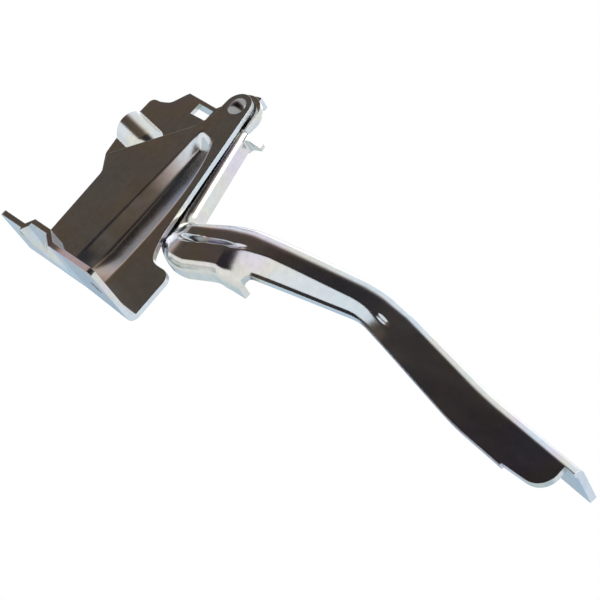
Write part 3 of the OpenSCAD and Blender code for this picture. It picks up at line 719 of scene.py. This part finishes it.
def arm_faces(s):
    """Front and back grids of the arm: a flanged section carried along the gooseneck line.

    Each station's section is laid off square to the line. It starts at the top flange's free
    edge, turns a quarter circle into the web, runs down the web with a groove pressed into it
    (one less u squared, squared) and a soft slant that stops short of the lower edge, and under
    the corner turns through an arc into the bottom flange. Widths, depths and radii are straight
    blends along the line, and the whole section stands out to the front by an ease over the
    joggle. The back lies the thickness further along the section's own normal.
    """
    line, gone, (neck, turn, rise, crown, tail) = arm_spine(arm_line(s))
    t, n = s.thickness / MM, len(line)
    ahead = unit(np.gradient(line, axis=0))
    down = np.column_stack([ahead[:, 1], -ahead[:, 0]])

    def along(*stops):
        """A column of values blended straight between (place on the line, value) stops."""
        places, values = zip(*stops)
        return np.interp(gone, places, values)[:, None]

    nw, nf, tf = s.neck_w / MM, s.neck_flange_d / MM, s.tail_flange_d / MM
    wide = along((0, nw), (neck, nw), (between(neck, turn, 0.35), nw + 7),
                 (between(neck, turn, 0.7), nw + 15), (turn, nw + 20.5),
                 (between(turn, rise, 0.5), 34.5), (rise, 37), (rise + 26, 37),
                 (crown + 20, s.tail_w / MM + 7), (tail, s.tail_w / MM + 7))
    deep = along((0, nf), (turn, nf), (rise, between(nf, tf, 0.4)), (crown, tf - 0.4),
                 (crown + 30, tf), (tail, tf))
    r = along((0, t + FILLET), (turn, t + 2), (rise, t + 6), (crown, t + 5),
              (crown + 30, t + FILLET), (tail, t + FILLET))
    press = s.groove / MM * along(
        (0, 0), (turn - 5, 0), (turn + 2, 1.0), (turn + 16, 0.7), (rise, 0.3), (rise + 14, 0),
        (crown + 15, 0), (crown + 20, 0.24), (crown + 25, 0), (tail, 0))
    reach = along((0, 2.6), (turn + 2, 2.6), (turn + 12, 1.7), (rise + 20, 1.5), (tail, 1.8))
    edge = along((0, 99), (rise + 20, 99), (rise + 24, 28.6), (crown, 24.0), (tail, 24.0))
    centre = along((0, 7), (turn, 13), (rise, 17), (rise + 30, 14), (tail, 14))
    slant = along((0, 0), (rise - 6, 0), (rise + 24, 0.42), (crown + 6, 0.42), (crown + 30, 0), (tail, 0))
    bend = along((0, 0), (between(neck, turn, 0.45), 0), (between(neck, turn, 0.8), 1), (rise + 26, 1),
                 (rise + 60, 0), (tail, 0))
    x = line[:, :1]
    back_again = 1 - 0.75 * ease((x - 85) / (s.middle_len / MM))
    level = ARM_LEVEL - s.joggle / MM * ease((x - 27) / 8.5) * back_again

    first = np.degrees(np.arctan(slant))
    steps = 12
    leg = between(0.6, (t + 2) * np.pi / 8, bend) * 4 / steps
    tip = between(0.6, s.bottom_flange_d / MM, bend)
    heads = np.radians(first + (90 - first) * bend * (np.arange(steps) + 0.5) / steps)
    last = np.radians(first + (90 - first) * bend)
    web_end = wide - leg * np.cos(heads).sum(1, keepdims=True) - tip * np.cos(last)

    def rows(a, y):
        return np.stack(np.broadcast_arrays(a, y), -1)

    part = np.linspace(0, 1, 7)[None, :-1]
    flange = rows(np.zeros((n, 6)), level + r + deep * (1 - part))
    turn_a = np.radians(np.linspace(0, 90, 13))[None, :-1]
    fillet = rows(r * (1 - np.cos(turn_a)), level + r * (1 - np.sin(turn_a)))
    a = between(r, web_end, np.linspace(0, 1, 52)[None, :])
    web = rows(a, level + slant * (soft_ramp(a - centre - 2, 0.8) - soft_ramp(a - edge + 2.2, 0.4)))
    sweep_a = web_end + np.cumsum(leg * np.cos(heads), 1)
    sweep_y = web[:, -1:, 1] + np.cumsum(leg * np.sin(heads), 1)
    sweep = rows(sweep_a, sweep_y)
    part = np.linspace(0, 1, 5)[None, 1:]
    lip = rows(sweep_a[:, -1:] + tip * np.cos(last) * part, sweep_y[:, -1:] + tip * np.sin(last) * part)
    section = np.concatenate([flange, fillet, web, sweep, lip], 1)

    step = unit(np.gradient(section, axis=1))
    inward = np.stack([-step[..., 1], step[..., 0]], -1)
    hollow = press * np.maximum(0, 1 - ((section[..., 0] - centre) / reach) ** 2) ** 2
    hollow[:, :6] = 0

    def placed(flat, way=False):
        spread = flat[..., :1] * down[:, None, :]
        base = 0.0 if way else line[:, None, :]
        xz = base + spread
        return np.stack([xz[..., 0], flat[..., 1], xz[..., 1]], -1)

    front = placed(section)
    back = front + set_off(front, placed(inward, True), t)
    front[..., 1] += hollow
    back[..., 1] += hollow
    return front, back


def arm_cuts(s):
    """Outlines cut off the arm: all below the lower edge, and the web's rounded end."""
    points = arm_line(s)
    rise_end, middle_end, drop_end, tail_end = points[2:]
    middle_dir, drop_dir, tail_dir = (unit(points[i + 1] - points[i]) for i in (2, 3, 4))
    w, t = s.tail_w / MM, s.thickness / MM

    def below(p, way, depth):
        return p + depth * turned(way, -90)

    start = below(rise_end + 19 * middle_dir, middle_dir, s.middle_w / MM)
    lower = rounded_path([
        (start[0], -2 * PAST), start - (0, 4), start + (2, 0.2), below(middle_end, middle_dir, w - 0.5),
        below(drop_end, drop_dir, w), below(tail_end, tail_dir, w) + 40 * tail_dir,
        (tail_end[0] + 40, -2 * PAST)], [0, 1, 1, 30, 200, 0, 0])
    end = np.vstack([rounded_path([
        below(tail_end, tail_dir, w + 8) - 31 * tail_dir, below(tail_end, tail_dir, w - 1.2) - 31 * tail_dir,
        below(tail_end, tail_dir, w - 3.6) - 5 * tail_dir, below(tail_end, tail_dir, t + 1) - 6 * tail_dir],
        [0, 0, 11, 0]),
        below(tail_end, tail_dir, t + 1) + 20 * tail_dir, below(tail_end, tail_dir, w + 8) + 20 * tail_dir])
    holes = [(drop_end + tail_dir * (s.tail_len / MM * 0.62), tail_dir),
             (drop_end - drop_dir * (s.bolt_spacing / MM - s.tail_len / MM * 0.62), drop_dir)]
    return lower, end, holes


def arm_ear(s):
    """Outline of the ear round the pivot, carried down into the neck's web clear of its fillet."""
    lean = np.radians(NECK_LEAN)
    way = np.array([np.sin(lean), -np.cos(lean)])
    side = np.array([-np.cos(lean), -np.sin(lean)])
    inner = s.thickness / MM + 2.2
    return np.vstack([
        arc(PIVOT, s.ear_r / MM, 20, 200, 48),
        *[NECK_TOP + way * a + side * b for a, b in (
            (12, s.neck_w / MM - 0.05), (12, inner), (0.3, inner), (0.3, 0.06))]])


def neck_lip(s):
    """The small lip that flares outward from the end of the neck's flange."""
    t, nf = s.thickness / MM, s.neck_flange_d / MM
    web = ARM_LEVEL + t + FILLET
    low, high, under, reach = web - 2, web + nf + 1.5, -0.3 - (t - 0.4), 8.0
    side = np.vstack([[(0.3 - t, -0.3), (reach, -0.3), (reach, under)],
                      arc((3.0, under - 3), 3, 90, 180, 10), [(0.3 - t, under - 3)]])
    plan = rounded_path([(-t, low), (0.3, low), (reach - 0.3, high - 3), (reach - 0.3, high + 1),
                         (-t, high + 1)], [0, 0, 2, 0, 0])
    lip = prism(side, low, high)
    joined(lip, prism(plan, -PAST, PAST, "z"), "INTERSECT")
    lip.data.transform(Matrix.Translation((NECK_TOP[0] * MM, 0, NECK_TOP[1] * MM))
                       @ Matrix.Rotation(np.radians(-NECK_LEAN), 4, "Y"))
    return lip


class HINGE_OT_arm(bpy.types.Operator):
    """Makes the gooseneck arm with its flanges, groove, lip and holes"""

    bl_idname = "hinge.arm"
    bl_label = "Hood arm"

    def execute(self, context):
        s, look = context.scene.hinge_arm, context.scene.hinge_finish
        t = s.thickness / MM
        piece = sheet("hood_arm_skin", *arm_faces(s))
        lower, end, holes = arm_cuts(s)
        joined(piece, prism(lower, -PAST, PAST), "DIFFERENCE")
        joined(piece, prism(end, -PAST, ARM_LEVEL + t + 0.6), "DIFFERENCE")
        joined(piece, prism(arm_ear(s), ARM_LEVEL + 0.02, ARM_LEVEL + t - 0.02), "UNION")
        joined(piece, neck_lip(s), "UNION")
        joined(piece, rod(BUSH_HOLE_R, 0, PAST), "DIFFERENCE")
        middle = ARM_LEVEL + t + FILLET + s.tail_flange_d / MM * 0.52
        for at, way in holes:
            hole = prism(circle((0, middle), s.bolt_d / MM / 2), -8, 8, "z")
            lean = np.arctan2(way[1], way[0])
            hole.data.transform(Matrix.Translation((at[0] * MM, 0, at[1] * MM))
                                @ Matrix.Rotation(-lean, 4, "Y"))
            joined(piece, hole, "DIFFERENCE")
        smooth(piece)
        finish_piece(piece, "arm", "zinc_sheet", zinc("zinc_arm", look, 7.4), "hood_arm")
        return {"FINISHED"}


class HINGE_OT_pivot(bpy.types.Operator):
    """Makes the rivet, the bush and the two washers"""

    bl_idname = "hinge.pivot"
    bl_label = "Pivot"

    def execute(self, context):
        look = context.scene.hinge_finish
        steel = zinc("zinc_rivet", look, 11.0, metal=look.rivet)
        ring = zinc("zinc_washer", look, 13.0, tint=0.4)
        bronze = zinc("bush_bronze", look, 17.0, metal=look.bronze)
        for name, slot, mat in (
                ("pivot_rivet", "rivet_steel", steel), ("pivot_bush", "bush_bronze", bronze),
                ("front_washer", "washer_steel", ring), ("rear_washer", "washer_steel", ring)):
            piece = copy_of(name, name + "_skin")
            broken_edges(piece, 0.00025)
            smooth(piece, 40)
            finish_piece(piece, "bracket", slot, mat, name)
        return {"FINISHED"}


def studio_world(s):
    """White for the camera; for mirrors, a pale room with a dim front and a blue shade behind.

    Each share is a dot product of two directions carried through a smooth step. The dim front is
    kept to a band about the horizon, goes over into the pale room through a warm edge, and is
    nearly black in its middle.
    """
    world = bpy.data.worlds.new("studio")
    world.use_nodes = True
    tree = world.node_tree
    tree.nodes.clear()
    coords = node(tree, "ShaderNodeTexCoord")

    def facing(way, none, full):
        """0 to 1 as the mirrored direction nears the given one."""
        dot = node(tree, "ShaderNodeVectorMath", operation="DOT_PRODUCT")
        dot.inputs[1].default_value = Vector(way).normalized()
        link(tree, coords, "Generated", dot, 0)
        made = mapped(tree, dot, "Value", none, full, 0.0, 1.0)
        made.interpolation_type = "SMOOTHSTEP"
        return made

    def both(first, second):
        """Product of two values."""
        made = node(tree, "ShaderNodeMath", operation="MULTIPLY")
        tree.links.new(first.outputs[0], made.inputs[0])
        tree.links.new(second.outputs[0], made.inputs[1])
        return made

    def over(under, colour, share):
        """A colour laid over another by a share."""
        made = node(tree, "ShaderNodeMix", data_type="RGBA")
        tree.links.new(share.outputs[0], made.inputs["Factor"])
        tree.links.new(under.outputs["Result" if under.type == "MIX" else "Color"], made.inputs["A"])
        made.inputs["B"].default_value = (*colour, 1.0)
        return made

    height = facing((0, 0, 1), -1.0, 1.0)
    pale = ramp(tree, height, "Result", [
        (0.2, (0.74, 0.82, 0.92)), (0.5, (0.82, 0.88, 0.96)), (0.8, (0.93, 0.96, 0.99))])
    up, ahead, behind, across = (0, 0, 1), (-0.12, -1.0, 0.0), (-0.85, 0.5, 0.0), (1.0, -0.3, 0.0)
    blue_shade, warm_edge = (0.10, 0.15, 0.26), (0.56, 0.37, 0.30)
    level = both(facing(up, -0.34, -0.10), facing(up, 0.72, 0.40))
    front = both(facing(ahead, 0.15, 0.55), level)
    rear = both(facing(behind, 0.55, 0.9), facing(up, 0.65, 0.35))
    blue = over(pale, blue_shade, rear)
    edge = over(blue, warm_edge, front)
    inner = both(facing(ahead, 0.40, 0.66), level)
    brown = over(edge, tuple(s.dark), inner)
    middle = both(facing(across, -0.46, -0.28), facing(across, 0.62, 0.35))
    room = over(brown, tuple(s.deep), both(inner, middle))
    lit = node(tree, "ShaderNodeBackground", Strength=1.0)
    link(tree, room, "Result", lit, "Color")
    white = node(tree, "ShaderNodeBackground", Color=(1.0, 1.0, 1.0, 1.0), Strength=1.0)
    seen = node(tree, "ShaderNodeLightPath")
    pick = node(tree, "ShaderNodeMixShader")
    link(tree, seen, "Is Camera Ray", pick, "Fac")
    tree.links.new(lit.outputs[0], pick.inputs[1])
    tree.links.new(white.outputs[0], pick.inputs[2])
    out = node(tree, "ShaderNodeOutputWorld")
    tree.links.new(pick.outputs[0], out.inputs["Surface"])
    bpy.context.scene.world = world


def studio_floor(s):
    """A wide pale disc whose colour goes over into the white ground away from its middle.

    Mirrors see it lit from within, white in front and bluer towards the back.
    """
    reach, centre_x = 4000, 120
    ring, around = np.meshgrid(np.linspace(0, 1, 12) ** 1.5 * reach, np.radians(np.arange(0, 360, 5)),
                               indexing="ij")
    points = np.column_stack([(ring * np.cos(around)).ravel() + centre_x, (ring * np.sin(around)).ravel(),
                              np.full(ring.size, s.floor_z / MM)])
    n, m = ring.shape
    at = np.arange(n * m).reshape(n, m)
    near, far = at[:-1], at[1:]
    faces = np.stack([near, far, np.roll(far, -1, 1), np.roll(near, -1, 1)], -1).reshape(-1, 4)
    floor = add_object("floor", points, faces)
    mat = bpy.data.materials.new("floor_paper")
    mat.use_nodes = True
    tree = mat.node_tree
    tree.nodes.clear()
    coords = node(tree, "ShaderNodeTexCoord")
    grain = node(tree, "ShaderNodeTexNoise", Scale=60.0, Detail=3.0)
    link(tree, coords, "Object", grain, "Vector")
    paper = ramp(tree, grain, "Fac", [(0.3, tuple(c * 0.97 for c in s.floor)), (0.7, tuple(s.floor))])
    dull = node(tree, "ShaderNodeBsdfPrincipled", Roughness=0.9)
    link(tree, paper, "Color", dull, "Base Color")
    glow = node(tree, "ShaderNodeEmission", Strength=1.0)
    distance = node(tree, "ShaderNodeVectorMath", operation="LENGTH")
    link(tree, coords, "Object", distance, 0)
    away = mapped(tree, distance, "Value", 0.35, 0.9, 0.0, 1.0)
    seen = node(tree, "ShaderNodeLightPath")
    both = node(tree, "ShaderNodeMath", operation="MULTIPLY")
    link(tree, away, "Result", both, 0)
    link(tree, seen, "Is Camera Ray", both, 1)
    pick = node(tree, "ShaderNodeMixShader")
    link(tree, both, "Value", pick, "Fac")
    tree.links.new(dull.outputs["BSDF"], pick.inputs[1])
    tree.links.new(glow.outputs["Emission"], pick.inputs[2])
    place = node(tree, "ShaderNodeSeparateXYZ")
    link(tree, coords, "Object", place, "Vector")
    back = mapped(tree, place, "Y", -0.2, 0.7, 0.0, 1.0)
    tint = ramp(tree, back, "Result", [(0.0, (0.98, 0.99, 1.0)), (1.0, (0.55, 0.69, 0.80))])
    mirrored = node(tree, "ShaderNodeEmission", Strength=1.0)
    link(tree, tint, "Color", mirrored, "Color")
    last = node(tree, "ShaderNodeMixShader")
    link(tree, seen, "Is Glossy Ray", last, "Fac")
    tree.links.new(pick.outputs["Shader"], last.inputs[1])
    tree.links.new(mirrored.outputs["Emission"], last.inputs[2])
    out = node(tree, "ShaderNodeOutputMaterial")
    link(tree, last, "Shader", out, "Surface")
    floor.data.materials.append(mat)


def soft_light(name, at, aim, size, power):
    """A square soft light at one point, aimed at another."""
    lamp = bpy.data.lights.new(name, "AREA")
    lamp.shape, lamp.size, lamp.energy = "SQUARE", size, power
    obj = bpy.data.objects.new(name, lamp)
    bpy.context.scene.collection.objects.link(obj)
    obj.location = at
    obj.rotation_mode = "QUATERNION"
    obj.rotation_quaternion = (Vector(aim) - Vector(at)).to_track_quat("-Z", "Y")
    return obj


class HINGE_OT_stage(bpy.types.Operator):
    """Sets up the floor, the soft light and the camera"""

    bl_idname = "hinge.stage"
    bl_label = "Stage"

    def execute(self, context):
        s, scene = context.scene.hinge_stage, context.scene
        studio_world(s)
        studio_floor(s)
        middle = (0.12, 0.03, 0.08)
        soft_light("key_light", (0.75, -0.35, 0.9), middle, 0.7, s.key)
        soft_light("fill_light", (-0.5, 0.5, 0.9), middle, 0.7, s.key * 0.4)
        cam = bpy.data.cameras.new("camera")
        cam.lens, cam.sensor_width, cam.sensor_fit = 90.0, 36.0, "HORIZONTAL"
        cam.clip_start, cam.clip_end = 0.05, 50.0
        obj = bpy.data.objects.new("camera", cam)
        scene.collection.objects.link(obj)
        right, up, back = (Vector(v) for v in ((0.6614, 0.3749, 0.6496), (-0.4015, -0.5547, 0.7288),
                                               (0.6336, -0.7428, -0.2163)))
        obj.rotation_mode = "QUATERNION"
        obj.rotation_quaternion = Matrix((right, up, back)).transposed().to_quaternion()
        obj.location = (0.6480, -0.5779, -0.1140)
        scene.camera = obj
        scene.view_settings.view_transform = "Standard"
        return {"FINISHED"}


class HINGE_PT_panel(bpy.types.Panel):
    """Lists the hinge's pieces and their sizes"""

    bl_label = "Hood hinge"
    bl_idname = "HINGE_PT_panel"
    bl_space_type = "VIEW_3D"
    bl_region_type = "UI"
    bl_category = "Hinge"

    def draw(self, context):
        for settings, operator in PANEL_ROWS:
            box = self.layout.box()
            if operator:
                box.operator(operator)
            group = getattr(context.scene, settings)
            for key in group.__annotations__:
                box.prop(group, key)


PANEL_ROWS = (("hinge_front_plate", "hinge.front_plate"), ("hinge_rear_plate", "hinge.rear_plate"),
              ("hinge_arm", "hinge.arm"), ("hinge_finish", "hinge.pivot"), ("hinge_stage", "hinge.stage"))
GROUPS = {"hinge_front_plate": HingeFrontPlate, "hinge_rear_plate": HingeRearPlate,
          "hinge_arm": HingeArm, "hinge_finish": HingeFinish, "hinge_stage": HingeStage}
OPERATORS = (HINGE_OT_front_plate, HINGE_OT_rear_plate, HINGE_OT_arm, HINGE_OT_pivot, HINGE_OT_stage)


def register():
    """Makes the settings, operators and panel known to Blender."""
    for kind in (*GROUPS.values(), *OPERATORS, HINGE_PT_panel):
        bpy.utils.register_class(kind)
    for name, kind in GROUPS.items():
        setattr(bpy.types.Scene, name, PointerProperty(type=kind))


def unregister():
    """Takes them away again."""
    for name in GROUPS:
        delattr(bpy.types.Scene, name)
    for kind in (HINGE_PT_panel, *reversed(OPERATORS), *reversed(tuple(GROUPS.values()))):
        bpy.utils.unregister_class(kind)


def main():
    """Registers the classes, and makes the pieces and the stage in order."""
    register()
    bpy.ops.hinge.front_plate()
    bpy.ops.hinge.rear_plate()
    bpy.ops.hinge.arm()
    bpy.ops.hinge.pivot()
    bpy.ops.hinge.stage()


if __name__ == "__main__":
    main()
